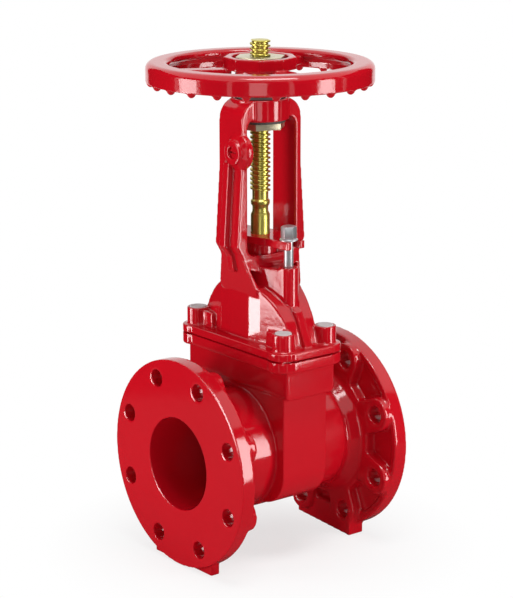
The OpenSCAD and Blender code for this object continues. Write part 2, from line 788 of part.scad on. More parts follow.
module gland_bolt(side) color([0.72, 0.72, 0.74]) at_axis() {
    head_z = gland_top + washer_t;
    tip = pillar_top - gland_bolt_depth + tip_gap;
    translate([0, side * gland_bolt_y, 0]) {
        translate([0, 0, tip]) cylinder(r = gland_bolt_r, h = head_z - tip + eps);
        translate([0, 0, head_z]) rotate([0, 0, gland_head_angle]) cylinder(r = gland_head_r, h = gland_head_h, $fn = 6);
    }
}

module lug_plug() color([0.60, 0.06, 0.09]) at_axis() difference() {
    x_cylinder(lug_hole_r, lug_face + lug_plug_in, lug_face + lug_hole_depth, lug_z, lug_y);
    translate([lug_face + lug_plug_in - 1, lug_y - lug_hole_r - 1, lug_z - 1]) cube([3, 2 * lug_hole_r + 2, 2]);
}

// ---------- Stem and gate ----------

// Plain lengths below the thread, each with its depth below the thread's lower end.
neck_end = 9.5;
collar_top = 10.5;
collar_bottom = 14.5;
groove_top = 17;
groove_bottom = 22.5;
shaft_top = 26;
stem_neck_r = stem_r - 1.6;
stem_end_r = 7;
stem_tip = stem_shoulder - stem_end_len;
thread_turns = floor(thread_len / pitch);

// Half outline of the stem: smooth shaft, groove, collar, threads as rings, flat top.
function stem_outline() = concat(
    [[0, stem_tip], [stem_end_r, stem_tip], [stem_end_r, stem_shoulder], [stem_r, stem_shoulder],
     [stem_r, thread_bottom - shaft_top], [stem_neck_r, thread_bottom - groove_bottom],
     [stem_neck_r, thread_bottom - groove_top], [stem_r, thread_bottom - collar_bottom],
     [stem_r, thread_bottom - collar_top], [stem_neck_r, thread_bottom - neck_end], [stem_neck_r, thread_bottom]],
    [for (i = [0 : thread_turns - 1], p = thread_step(thread_bottom + i * pitch)) p],
    [[thread_r - thread_depth, stem_top], [0, stem_top]]);

function thread_step(z) = [[thread_r - thread_depth, z], [thread_r, z + 0.25 * pitch],
    [thread_r, z + 0.55 * pitch], [thread_r - thread_depth, z + 0.8 * pitch]];

module stem() color([0.72, 0.66, 0.22]) at_axis() difference() {
    rotate_extrude($fn = 64) polygon(stem_outline());
    pin_hole(pin_r + fit_gap);
}

module gate_blank(inset) intersection() {
    across_pipe(box_half_x) circle(r = gate_r - inset);
    wedge(-inset, -gate_r, gate_r, gate_r);
}

nut_half_x = 9.5;
nut_half_y = 14;
nut_z = stem_tip;
nut_h = 24;
pocket_gap = 0.1;
pin_r = 3;
pin_half_len = nut_half_y;

module gate_pocket(grow) translate([-nut_half_x - grow, -nut_half_y - grow, nut_z])
    cube([2 * (nut_half_x + grow), 2 * (nut_half_y + grow), gate_r - nut_z + 10]);

// A round bar across the stem's end and the gate's nut.
module pin_hole(r) translate([0, 0, nut_z + nut_h / 2]) rotate([90, 0, 0])
    cylinder(r = r, h = 2 * pin_half_len, center = true);

module gate_core() color([0.35, 0.34, 0.33]) at_axis() difference() {
    gate_blank(rubber_t);
    gate_pocket(pocket_gap);
}

module gate_rubber() color([0.07, 0.07, 0.08]) at_axis() difference() {
    gate_blank(0);
    gate_blank(rubber_t);
    gate_pocket(pocket_gap);
}

module gate_nut() color([0.75, 0.58, 0.30]) at_axis() difference() {
    translate([-nut_half_x, -nut_half_y, nut_z]) cube([2 * nut_half_x, 2 * nut_half_y, nut_h]);
    translate([0, 0, nut_z - 1]) cylinder(r = stem_end_r + fit_gap, h = nut_h + 2);
    pin_hole(pin_r + fit_gap);
}

module gate_pin() color([0.6, 0.6, 0.62]) at_axis() pin_hole(pin_r);

// ---------- Stem nut and handwheel ----------

module stem_nut() color([0.80, 0.76, 0.62]) at_axis() difference() {
    union() {
        translate([0, 0, nut_bottom]) rotate([0, 0, nut_angle]) cylinder(r = nut_flange_r, h = nut_flange_t, $fn = 6);
        translate([0, 0, nut_bottom + 1]) cylinder(r = nut_r, h = hub_bottom - nut_bottom - 1);
        translate([-nut_square / 2, -nut_square / 2, hub_bottom])
            cube([nut_square, nut_square, recess_z - hub_bottom]);
        translate([0, 0, nut_bottom + 1]) cylinder(r = nut_square / 2, h = hub_top - nut_bottom - 1);
    }
    translate([0, 0, nut_bottom - 1]) cylinder(r = thread_r + thread_gap, h = hub_top - nut_bottom + 2);
}

module thrust_washer(z) difference() {
    translate([0, 0, z]) cylinder(r = housing_r - 4, h = thrust_t);
    translate([0, 0, z - 1]) cylinder(r = nut_r + run_gap, h = thrust_t + 2);
}

module lower_thrust_washer() color([0.25, 0.25, 0.26]) at_axis() thrust_washer(nut_flange_top + run_gap);

module upper_thrust_washer() color([0.25, 0.25, 0.26]) at_axis() thrust_washer(crown_top + run_gap);

module handwheel() color([0.70, 0.07, 0.10]) at_axis() difference() {
    union() {
        wheel_rim();
        translate([0, 0, hub_top - hub_h]) rotate([0, 0, wheel_turn]) cylinder(r = hub_r, h = hub_h, $fn = hub_sides);
        translate([0, 0, hub_bottom]) cylinder(r = hub_boss_r, h = hub_top - hub_h / 2 - hub_bottom);
        for (i = [0 : spokes - 1]) rotate([0, 0, wheel_turn + i * 360 / spokes]) spoke();
        for (i = [0 : knobs - 1]) rotate([0, 0, wheel_turn + i * 360 / knobs])
            translate([wheel_r - knob_r - 1, 0, rim_bottom - knob_drop]) knob();
    }
    translate([-nut_square / 2 - fit_gap, -nut_square / 2 - fit_gap, hub_bottom - 1])
        cube([nut_square + 2 * fit_gap, nut_square + 2 * fit_gap, hub_top - hub_bottom + 2]);
    translate([0, 0, recess_z]) cylinder(r = wheel_nut_r + 2, h = hub_top - recess_z + 1);
}

// A flat bar from inside the hub to the rim's skirt.
module spoke() translate([hub_r - spoke_root, -spoke_w / 2, spoke_z])
    cube([wheel_r - skirt_t - hub_r + spoke_root + 2, spoke_w, spoke_h]);

module knob() rotate_extrude($fn = 32) intersection() {
    union() {
        translate([0, knob_r]) circle(r = knob_r);
        translate([0, knob_r]) square([knob_r, knob_drop]);
    }
    square([knob_r + 1, knob_r + knob_drop]);
}

// Half section of the rim: a skirt with a rounded top and a lip that points inwards.
module wheel_rim() rotate_extrude($fn = 128) translate([wheel_r - wheel_rim_w, rim_bottom]) {
    top = wheel_rim_h;
    lip_r = lip_h / 2;
    edge_x = wheel_rim_w - rim_edge_r;
    translate([wheel_rim_w - skirt_t, 0]) square([skirt_t, top - rim_edge_r]);
    translate([lip_r, top - lip_h]) square([edge_x - lip_r, lip_h]);
    translate([lip_r, top - lip_r]) circle(r = lip_r);
    translate([edge_x, top - rim_edge_r]) circle(r = rim_edge_r);
}

module wheel_washer() color([0.72, 0.72, 0.74]) at_axis() difference() {
    translate([0, 0, recess_z]) cylinder(r = wheel_nut_r, h = wheel_washer_t);
    translate([0, 0, recess_z - 1]) cylinder(r = nut_square / 2 + fit_gap, h = wheel_washer_t + 2);
}

module wheel_nut() color([0.80, 0.76, 0.62]) at_axis() difference() {
    translate([0, 0, hub_top - wheel_nut_h]) rotate([0, 0, nut_angle]) cylinder(r = wheel_nut_r, h = wheel_nut_h, $fn = 6);
    translate([0, 0, hub_top - wheel_nut_h - 1]) cylinder(r = nut_square / 2 + fit_gap, h = wheel_nut_h + 2);
}

body();
bonnet();
bonnet_gasket();
bonnet_bolt(-1, -1);  // bonnet_bolt_1
bonnet_bolt(1, -1);  // bonnet_bolt_2
bonnet_bolt(1, 1);  // bonnet_bolt_3
bonnet_bolt(-1, 1);  // bonnet_bolt_4
wax_plug(-1, -1);  // wax_plug_1
wax_plug(1, -1);  // wax_plug_2
wax_plug(1, 1);  // wax_plug_3
wax_plug(-1, 1);  // wax_plug_4
gland();
gland_packing();
gland_bolt(-1);  // gland_bolt_1
gland_bolt(1);  // gland_bolt_2
gland_washer(-1);  // gland_washer_1
gland_washer(1);  // gland_washer_2
lug_plug();
stem();
gate_core();
gate_rubber();
gate_nut();
gate_pin();
stem_nut();
lower_thrust_washer();
upper_thrust_washer();
handwheel();
wheel_nut();
wheel_washer();
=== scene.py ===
"""Dresses a flanged outside screw and yoke gate valve: soft castings, a threaded stem, fastenings."""

from __future__ import annotations

import json
import logging
import math
from dataclasses import dataclass, field
from enum import Enum
from typing import Callable

import bpy
import numpy as np
from mathutils import Matrix, Vector

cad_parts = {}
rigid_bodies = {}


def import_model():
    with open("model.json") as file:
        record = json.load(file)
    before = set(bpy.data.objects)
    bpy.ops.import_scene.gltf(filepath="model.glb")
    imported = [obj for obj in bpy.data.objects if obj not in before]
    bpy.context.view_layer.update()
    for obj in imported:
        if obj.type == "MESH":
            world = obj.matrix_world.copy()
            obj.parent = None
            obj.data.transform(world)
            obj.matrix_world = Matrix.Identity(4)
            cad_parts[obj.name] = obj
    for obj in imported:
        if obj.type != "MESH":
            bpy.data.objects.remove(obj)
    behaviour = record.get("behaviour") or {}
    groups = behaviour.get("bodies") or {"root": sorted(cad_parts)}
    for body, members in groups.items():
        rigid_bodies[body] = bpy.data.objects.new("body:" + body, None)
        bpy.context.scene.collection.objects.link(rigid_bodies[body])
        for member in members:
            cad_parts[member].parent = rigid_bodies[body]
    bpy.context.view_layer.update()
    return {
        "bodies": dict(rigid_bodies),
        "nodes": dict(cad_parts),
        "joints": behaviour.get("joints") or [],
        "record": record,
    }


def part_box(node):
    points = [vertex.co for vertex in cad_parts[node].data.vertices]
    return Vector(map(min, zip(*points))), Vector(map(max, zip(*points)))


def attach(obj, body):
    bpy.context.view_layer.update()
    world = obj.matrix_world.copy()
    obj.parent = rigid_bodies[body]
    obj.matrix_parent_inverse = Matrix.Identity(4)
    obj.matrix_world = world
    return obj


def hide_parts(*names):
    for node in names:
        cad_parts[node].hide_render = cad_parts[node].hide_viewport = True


LOG = logging.getLogger("valve")
MM = 0.001
# Height of the pipe's axis above the floor.
AXIS = 0.115
# Points nearer than this are one point.
MERGE = 1e-6
Obj = bpy.types.Object
Nodes = bpy.types.Nodes
# Takes points as rows of X, Y, Z in metres and tells which belong.
Test = Callable[[np.ndarray], np.ndarray]


class Body(Enum):
    """The bodies that pieces ride on."""

    VALVE = "valve"
    DRIVE = "drive"
    RISING = "rising"


class Solids(Enum):
    """What is left of two closed shapes."""

    DIFFERENCE = "DIFFERENCE"
    UNION = "UNION"
    SHARED = "INTERSECT"


# ---------------------------------------------------------------- bench tools


def only(obj: Obj) -> None:
    """Leaves obj alone selected and active."""
    bpy.ops.object.select_all(action="DESELECT")
    obj.select_set(True)
    bpy.context.view_layer.objects.active = obj


def apply(obj: Obj, kind: str, **settings: object) -> None:
    """Adds one modifier to obj and applies it.

    Args:
        obj: The mesh object.
        kind: Blender's name for the modifier type.
        settings: Values set on the modifier before it is applied.
    """
    only(obj)
    modifier = obj.modifiers.new(kind.lower(), kind)
    for key, value in settings.items():
        setattr(modifier, key, value)
    bpy.ops.object.modifier_apply(modifier=modifier.name)


def settle(obj: Obj) -> Obj:
    """Puts obj's place, turn and scale into its mesh, and returns obj."""
    only(obj)
    bpy.ops.object.transform_apply(location=True, rotation=True, scale=True)
    return obj


def smooth(obj: Obj, degrees: float) -> None:
    """Shades obj smooth, but for the edges that are sharper than so many degrees."""
    only(obj)
    bpy.ops.object.shade_smooth_by_angle(angle=math.radians(degrees))


def mesh_edit(obj: Obj, merge: float = 0.0, outward: bool = False) -> Obj:
    """Merges close points and turns faces outwards.

    Args:
        obj: The mesh object.
        merge: Points nearer than this, in metres, are merged, if it is above 0.
        outward: Whether the normals are recalculated.

    Returns:
        The same object.
    """
    only(obj)
    bpy.ops.object.mode_set(mode="EDIT")
    bpy.ops.mesh.select_all(action="SELECT")
    if merge > 0:
        bpy.ops.mesh.remove_doubles(threshold=merge)
    if outward:
        bpy.ops.mesh.normals_make_consistent(inside=False)
    bpy.ops.object.mode_set(mode="OBJECT")
    return obj


def casting_copy(frame: dict, node: str, name: str) -> Obj:
    """Makes a merged copy of a CAD node's mesh.

    Args:
        node: The CAD node.
        name: The new piece's name.

    Returns:
        The new object, at the origin.
    """
    mesh = frame["nodes"][node].data.copy()
    mesh.materials.clear()
    obj = bpy.data.objects.new(name, mesh)
    bpy.context.scene.collection.objects.link(obj)
    return mesh_edit(obj, merge=MERGE)


def twin(obj: Obj, name: str, move: tuple) -> Obj:
    """Copies a piece, with a mesh of its own.

    Args:
        obj: The piece, before it is dressed.
        name: The copy's name.
        move: How far the copy is moved along X and Y, in metres.

    Returns:
        The copy, at the origin.
    """
    mesh = obj.data.copy()
    mesh.name = name
    copy = bpy.data.objects.new(name, mesh)
    bpy.context.scene.collection.objects.link(copy)
    copy.location = (move[0], move[1], 0)
    return settle(copy)


def middle(low: tuple, high: tuple) -> tuple:
    """X and Y of a box's middle."""
    return (low[0] + high[0]) / 2, (low[1] + high[1]) / 2


def point(name: str, at: tuple) -> Obj:
    """A mesh of one point, left in edit mode and selected, ready to be extruded.

    Args:
        name: The object's name.
        at: The point, in metres.

    Returns:
        The new object.
    """
    bpy.ops.object.select_all(action="DESELECT")
    bpy.ops.mesh.primitive_plane_add(size=0.01, location=(0, 0, 0))
    obj = bpy.context.object
    obj.name = name
    bpy.ops.object.mode_set(mode="EDIT")
    bpy.ops.mesh.merge(type="CENTER")
    bpy.ops.transform.translate(value=at)
    return obj


def wire(name: str, corners: list) -> Obj:
    """Draws an open outline point by point, left in edit mode with all of it selected.

    Args:
        name: The object's name.
        corners: The outline's points, in metres.

    Returns:
        The new object.
    """
    obj = point(name, corners[0])
    for first, second in zip(corners, corners[1:]):
        step = Vector(second) - Vector(first)
        bpy.ops.mesh.extrude_region_move(TRANSFORM_OT_translate={"value": step})
    bpy.ops.mesh.select_all(action="SELECT")
    return obj


def prism(name: str, corners: list, move: tuple) -> Obj:
    """A flat outline drawn corner by corner and pulled along a line.

    Args:
        name: The object's name.
        corners: The outline's points, in metres.
        move: How far, and which way, it is pulled.

    Returns:
        The new closed object.
    """
    obj = wire(name, corners)
    bpy.ops.mesh.edge_face_add()
    bpy.ops.mesh.extrude_region_move(TRANSFORM_OT_translate={"value": move})
    bpy.ops.object.mode_set(mode="OBJECT")
    return mesh_edit(obj, merge=MERGE, outward=True)


def drum(name: str, radius: float, low: float, high: float, at: tuple = (0.0, 0.0),
         sides: int = 64, turn: float = 0.0) -> Obj:
    """An upright cylinder or prism.

    Args:
        name: The object's name.
        radius: Its radius over the corners, in metres.
        low: Height of the foot.
        high: Height of the top.
        at: X and Y of the axis.
        sides: Number of sides.
        turn: Angle of the first corner, in degrees.

    Returns:
        The new object.
    """
    bpy.ops.object.select_all(action="DESELECT")
    bpy.ops.mesh.primitive_cone_add(vertices=sides, radius1=radius, radius2=radius,
                                    depth=high - low, location=(at[0], at[1], (low + high) / 2))
    obj = bpy.context.object
    obj.name = name
    # A primitive's first corner lies on +Y.
    obj.rotation_euler = (0, 0, math.radians(turn - 90))
    return settle(obj)


def lathe(name: str, outline: list, steps: int = 96, at: tuple = (0.0, 0.0)) -> Obj:
    """Spins a half outline about an upright axis.

    Args:
        name: The object's name.
        outline: Radius and height of each point, from the foot to the top, in metres.
        steps: Number of steps in the turn.
        at: X and Y of the axis.

    Returns:
        The new object, closed at the axis.
    """
    obj = wire(name, [(r, 0, z) for r, z in outline])
    bpy.ops.mesh.spin(steps=steps, angle=2 * math.pi, center=(0, 0, 0), axis=(0, 0, 1))
    bpy.ops.object.mode_set(mode="OBJECT")
    mesh_edit(obj, merge=2 * MERGE, outward=True)
    obj.location = (at[0], at[1], 0)
    return settle(obj)


def join(name: str, first: Obj, second: Obj) -> Obj:
    """Joins two meshes into one object.

    Args:
        name: The joined object's name.
        first: The object that is kept.
        second: The object that is taken into it.

    Returns:
        The joined object.
    """
    only(first)
    second.select_set(True)
    bpy.ops.object.join()
    first.name = first.data.name = name
    return first


def combine(obj: Obj, other: Obj, solids: Solids) -> None:
    """Combines obj with another closed shape, which is then removed.

    Args:
        obj: The piece that is changed.
        other: The other shape.
        solids: What is left of the two.
    """
    apply(obj, "BOOLEAN", operation=solids.value, object=other, solver="EXACT")
    bpy.data.objects.remove(other)


def zone(obj: Obj, name: str, inside: Test) -> None:
    """Makes a vertex group of the points that a test picks.

    Args:
        obj: The mesh object.
        name: The group's name.
        inside: The test.
    """
    points = np.empty(len(obj.data.vertices) * 3)
    obj.data.vertices.foreach_get("co", points)
    picked = np.nonzero(inside(points.reshape(-1, 3)))[0].tolist()
    obj.vertex_groups.new(name=name).add(picked, 1.0, "REPLACE")


@dataclass(frozen=True)
class Skin:
    """How finely a casting is skinned and how far it is softened.

    Attributes:
        voxel: Size of a face before thinning, in metres.
        rounds: Smoothing rounds of the cast surface.
        faces: Most triangles that are left.
        machined: Tells which points lie on machined faces, which keep their edges.
        mellow: Tells which points get more rounds.
        mellow_rounds: How many more.
    """

    voxel: float
    rounds: int
    faces: int
    machined: Test | None = None
    mellow: Test | None = None
    mellow_rounds: int = 0


def soften(obj: Obj, skin: Skin) -> None:
    """Gives a casting its fillets: one skin of small faces, smoothed, then thinned where flat.

    Args:
        obj: The casting.
        skin: How fine and how soft it becomes.
    """
    apply(obj, "REMESH", mode="VOXEL", voxel_size=skin.voxel, adaptivity=0.0, use_smooth_shade=True)
    cast = ""
    if skin.machined:
        cast = "cast"
        zone(obj, cast, lambda points: ~skin.machined(points))
    apply(obj, "SMOOTH", factor=0.5, iterations=skin.rounds, vertex_group=cast)
    if skin.mellow:
        zone(obj, "mellow", skin.mellow)
        apply(obj, "SMOOTH", factor=0.5, iterations=skin.mellow_rounds, vertex_group="mellow")
    if skin.machined:
        apply(obj, "SMOOTH", factor=0.5, iterations=1)
    obj.vertex_groups.clear()
    count = sum(len(p.vertices) - 2 for p in obj.data.polygons)
    if count > skin.faces:
        apply(obj, "DECIMATE", decimate_type="COLLAPSE", ratio=skin.faces / count)
    LOG.info("%s: %d triangles before thinning", obj.name, count)
    smooth(obj, 40)
    apply(obj, "WEIGHTED_NORMAL", mode="FACE_AREA", weight=50, keep_sharp=True)


def crisp(obj: Obj, width: float, degrees: float) -> None:
    """Breaks the sharp edges of a machined piece.

    Args:
        obj: The piece.
        width: Width of the broken edge, in metres.
        degrees: Edges sharper than this are broken.
    """
    apply(obj, "BEVEL", width=width, segments=2, limit_method="ANGLE",
          angle_limit=math.radians(degrees))
    smooth(obj, 40)


# ---------------------------------------------------------------- finishes


def linear(red: int, green: int, blue: int) -> tuple:
    """Turns a screen colour into linear values.

    Args:
        red: Red, 0 to 255.
        green: Green, 0 to 255.
        blue: Blue, 0 to 255.

    Returns:
        Red, green, blue and alpha, 0 to 1.
    """
    def one(value: int) -> float:
        """One channel's linear value."""
        v = value / 255
        return v / 12.92 if v <= 0.04045 else ((v + 0.055) / 1.055) ** 2.4

    return one(red), one(green), one(blue), 1.0


def new_nodes(nodes: Nodes, *kinds: str) -> list:
    """Adds a shader node of each kind, named without its prefix, and returns them in order."""
    return [nodes.new(f"ShaderNode{kind}") for kind in kinds]


class ShaderGroup:
    """A shader group that is built once and shared by the materials."""

    NAME: str
    INPUTS: tuple
    OUTPUTS: tuple

    @classmethod
    def tree(cls) -> bpy.types.NodeTree:
        """The group, built on first use.

        Returns:
            The node tree.
        """
        found = bpy.data.node_groups.get(cls.NAME)
        if found:
            return found
        tree = bpy.data.node_groups.new(cls.NAME, "ShaderNodeTree")
        for name, kind, value in cls.INPUTS:
            socket = tree.interface.new_socket(name, in_out="INPUT", socket_type=f"NodeSocket{kind}")
            socket.default_value = value
        for name, kind in cls.OUTPUTS:
            tree.interface.new_socket(name, in_out="OUTPUT", socket_type=f"NodeSocket{kind}")
        cls.wire_up(tree.nodes, tree.links.new)
        return tree

    @classmethod
    def wire_up(cls, nodes: Nodes, link: Callable) -> None:
        """Adds the group's nodes; each group has its own.

        Args:
            nodes: The tree's nodes.
            link: Makes a link in the tree.
        """
        raise NotImplementedError(cls.NAME)


class VariationGroup(ShaderGroup):
    """A surface that varies: two colours in patches, roughness and a fine relief."""

    NAME = "surface_variation"
    INPUTS = (("Colour A", "Color", (0.5, 0.5, 0.5, 1)), ("Colour B", "Color", (0.4, 0.4, 0.4, 1)),
              ("Patch Scale", "Float", 12.0), ("Grain Scale", "Float", 400.0),
              ("Wave Scale", "Float", 60.0), ("Rough Low", "Float", 0.2), ("Rough High", "Float", 0.35))
    OUTPUTS = (("Colour", "Color"), ("Roughness", "Float"), ("Height", "Float"))
    # Share of the grain in the relief, beside the waves.
    GRAIN_SHARE = 0.35

    @classmethod
    def wire_up(cls, nodes: Nodes, link: Callable) -> None:
        """Adds the noises and mixes them.

        Args:
            nodes: The tree's nodes.
            link: Makes a link in the tree.
        """
        given, out = nodes.new("NodeGroupInput"), nodes.new("NodeGroupOutput")
        place, patch, grain, wave = new_nodes(nodes, "TexCoord", "TexNoise", "TexNoise", "TexNoise")
        mix, rough, low, total = new_nodes(nodes, "Mix", "MapRange", "Math", "Math")
        for noise, scale, detail in ((patch, "Patch Scale", 3.0), (grain, "Grain Scale", 2.0),
                                     (wave, "Wave Scale", 1.0)):
            link(place.outputs["Object"], noise.inputs["Vector"])
            link(given.outputs[scale], noise.inputs["Scale"])
            noise.inputs["Detail"].default_value = detail
        mix.data_type = "RGBA"
        link(patch.outputs["Fac"], mix.inputs["Factor"])
        link(given.outputs["Colour A"], mix.inputs["A"])
        link(given.outputs["Colour B"], mix.inputs["B"])
        link(mix.outputs["Result"], out.inputs["Colour"])
        link(grain.outputs["Fac"], rough.inputs["Value"])
        rough.inputs["From Min"].default_value, rough.inputs["From Max"].default_value = 0.3, 0.7
        link(given.outputs["Rough Low"], rough.inputs["To Min"])
        link(given.outputs["Rough High"], rough.inputs["To Max"])
        link(rough.outputs["Result"], out.inputs["Roughness"])
        low.operation, total.operation = "MULTIPLY", "ADD"
        low.inputs[1].default_value = cls.GRAIN_SHARE
        link(grain.outputs["Fac"], low.inputs[0])
        link(low.outputs[0], total.inputs[0])
        link(wave.outputs["Fac"], total.inputs[1])
        link(total.outputs[0], out.inputs["Height"])


class RingsGroup(ShaderGroup):
    """Turned metal: fine rings about an upright axis, as roughness and relief."""

    NAME = "turning_rings"
    INPUTS = (("Ring Scale", "Float", 900.0), ("Rough Low", "Float", 0.15),
              ("Rough High", "Float", 0.35))
    OUTPUTS = (("Roughness", "Float"), ("Height", "Float"))
    # How much the rings vary round a turn, against along the axis.
    ROUND = 0.02

    @classmethod
    def wire_up(cls, nodes: Nodes, link: Callable) -> None:
        """Adds the flattened noise.

        Args:
            nodes: The tree's nodes.
            link: Makes a link in the tree.
        """
        given, out = nodes.new("NodeGroupInput"), nodes.new("NodeGroupOutput")
        place, flat, noise, rough = new_nodes(nodes, "TexCoord", "Mapping", "TexNoise", "MapRange")
        flat.inputs["Scale"].default_value = (cls.ROUND, cls.ROUND, 1.0)
        link(place.outputs["Object"], flat.inputs["Vector"])
        link(flat.outputs["Vector"], noise.inputs["Vector"])
        link(given.outputs["Ring Scale"], noise.inputs["Scale"])
        noise.inputs["Detail"].default_value = 2.0
        link(noise.outputs["Fac"], rough.inputs["Value"])
        link(given.outputs["Rough Low"], rough.inputs["To Min"])
        link(given.outputs["Rough High"], rough.inputs["To Max"])
        link(rough.outputs["Result"], out.inputs["Roughness"])
        link(noise.outputs["Fac"], out.inputs["Height"])


@dataclass(frozen=True)
class PaintedRootShade:
    """Painted shade between the threads: the radii where it ends and begins, and its colour."""

    inner: float
    outer: float
    colour: tuple


@dataclass(frozen=True)
class Finish:
    """One finish: its colours, gloss and relief, and its slot where that has another name, which is not
    used.
    """

    name: str
    colour: tuple
    second: tuple
    slot: str = ""
    metallic: float = 0.0
    rough: tuple = (0.2, 0.35)
    patch_scale: float = 12.0
    grain_scale: float = 400.0
    wave_scale: float = 60.0
    relief: float = 0.0002
    specular: float = 0.5
    scatter: float = 0.0
    scatter_depth: float = 4 * MM
    turned: bool = False
    painted_root_shade: PaintedRootShade | None = None

    def material(self) -> bpy.types.Material:
        """The material, built on first use.

        Returns:
            The Blender material.
        """
        found = bpy.data.materials.get(self.name)
        if found:
            return found
        material = bpy.data.materials.new(self.name)
        material.use_nodes = True
        nodes, link = material.node_tree.nodes, material.node_tree.links.new
        shader = nodes["Principled BSDF"]
        surface = nodes.new("ShaderNodeGroup")
        surface.node_tree = VariationGroup.tree()
        for key, value in (("Colour A", linear(*self.colour)), ("Colour B", linear(*self.second)),
                           ("Patch Scale", self.patch_scale), ("Grain Scale", self.grain_scale),
                           ("Wave Scale", self.wave_scale),
                           ("Rough Low", self.rough[0]), ("Rough High", self.rough[1])):
            surface.inputs[key].default_value = value
        link(surface.outputs["Colour"], shader.inputs["Base Color"])
        # Painted shade: the thread roots are darker than the crests.
        if self.painted_root_shade:
            self.paint_root_shade(material, surface.outputs["Colour"])
        source = surface
        if self.turned:
            source = nodes.new("ShaderNodeGroup")
            source.node_tree = RingsGroup.tree()
            source.inputs["Rough Low"].default_value = self.rough[0]
            source.inputs["Rough High"].default_value = self.rough[1]
        bump = nodes.new("ShaderNodeBump")
        bump.inputs["Strength"].default_value = 1.0
        bump.inputs["Distance"].default_value = self.relief
        link(source.outputs["Roughness"], shader.inputs["Roughness"])
        link(source.outputs["Height"], bump.inputs["Height"])
        link(bump.outputs["Normal"], shader.inputs["Normal"])
        shader.inputs["Metallic"].default_value = self.metallic
        shader.inputs["Specular IOR Level"].default_value = self.specular
        if self.scatter > 0:
            shader.inputs["Subsurface Weight"].default_value = self.scatter
            shader.inputs["Subsurface Scale"].default_value = self.scatter_depth
        return material

    def paint_root_shade(self, material: bpy.types.Material, unshaded: bpy.types.NodeSocket) -> None:
        """Darkens the metal near the upright axis: painted shade in the thread roots.

        Args:
            material: The finish's material.
            unshaded: The metal's colour before the painted shade.
        """
        nodes, link = material.node_tree.nodes, material.node_tree.links.new
        place, flat, radius = new_nodes(nodes, "TexCoord", "Mapping", "VectorMath")
        amount, mix = new_nodes(nodes, "MapRange", "Mix")
        flat.inputs["Scale"].default_value = (1, 1, 0)
        radius.operation = "LENGTH"
        link(place.outputs["Object"], flat.inputs["Vector"])
        link(flat.outputs["Vector"], radius.inputs[0])
        amount.inputs["From Min"].default_value = self.painted_root_shade.inner
        amount.inputs["From Max"].default_value = self.painted_root_shade.outer
        link(radius.outputs["Value"], amount.inputs["Value"])
        mix.data_type = "RGBA"
        mix.inputs["A"].default_value = linear(*self.painted_root_shade.colour)
        link(amount.outputs["Result"], mix.inputs["Factor"])
        link(unshaded, mix.inputs["B"])
        link(mix.outputs["Result"], nodes["Principled BSDF"].inputs["Base Color"])

    def dress(self, obj: Obj) -> None:
        """Gives obj this finish alone."""
        obj.data.materials.clear()
        obj.data.materials.append(self.material())


RED = Finish("red_epoxy", (194, 12, 29), (184, 10, 25), "red_casting", rough=(0.07, 0.12),
             patch_scale=9.0, grain_scale=900.0, wave_scale=140.0, relief=0.00006, specular=0.65)
# The brass is painted darker near its axis, as shade in the thread roots.
BRASS = Finish("stem_brass", (196, 184, 62), (180, 164, 46), metallic=1.0,
               rough=(0.14, 0.26), relief=0.00002, patch_scale=30.0, turned=True,
               painted_root_shade=PaintedRootShade(8.7 * MM, 10.9 * MM, (74, 70, 14)))
BRONZE = Finish("nut_bronze", (206, 196, 160), (190, 176, 136), metallic=1.0,
                rough=(0.34, 0.5), relief=0.00003, patch_scale=40.0, turned=True)
ZINC = Finish("zinc_steel", (222, 224, 228), (204, 208, 214), metallic=1.0,
              rough=(0.05, 0.10), patch_scale=60.0, grain_scale=1500.0, wave_scale=300.0,
              relief=0.00001)
RUBBER = Finish("black_rubber", (24, 24, 26), (32, 32, 34), rough=(0.55, 0.7),
                relief=0.00005)
WAX = Finish("sealing_wax", (214, 204, 204), (198, 186, 188), rough=(0.3, 0.45),
             patch_scale=150.0, wave_scale=220.0, relief=0.0004, scatter=0.3)
IRON = Finish("bare_iron", (92, 88, 84), (74, 70, 66), metallic=1.0, rough=(0.45, 0.6),
              relief=0.0001)


# ---------------------------------------------------------------- sub-assemblies


@dataclass
class SubAssembly:
    """What every sub-assembly has: the frame and the pieces that it made."""

    frame: dict
    made: list = field(default_factory=list)

    def keep(self, obj: Obj, finish: Finish, body: Body, node: str) -> None:
        """Dresses a finished piece and ties it to the frame.

        Args:
            obj: The piece.
            finish: Its finish.
            body: The body that it rides on.
            node: The CAD node that it stands for.
        """
        finish.dress(obj)
        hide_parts(node)
        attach(obj, body.value)
        self.made.append(obj.name)
        LOG.info("%s: %d faces, rides on %s", obj.name, len(obj.data.polygons), body.value)

    def dress_nodes(self, finish: Finish, *nodes: str) -> None:
        """Gives CAD nodes a finish in place.

        Args:
            finish: Their finish.
            nodes: The CAD nodes.
        """
        for node in nodes:
            finish.dress(self.frame["nodes"][node])


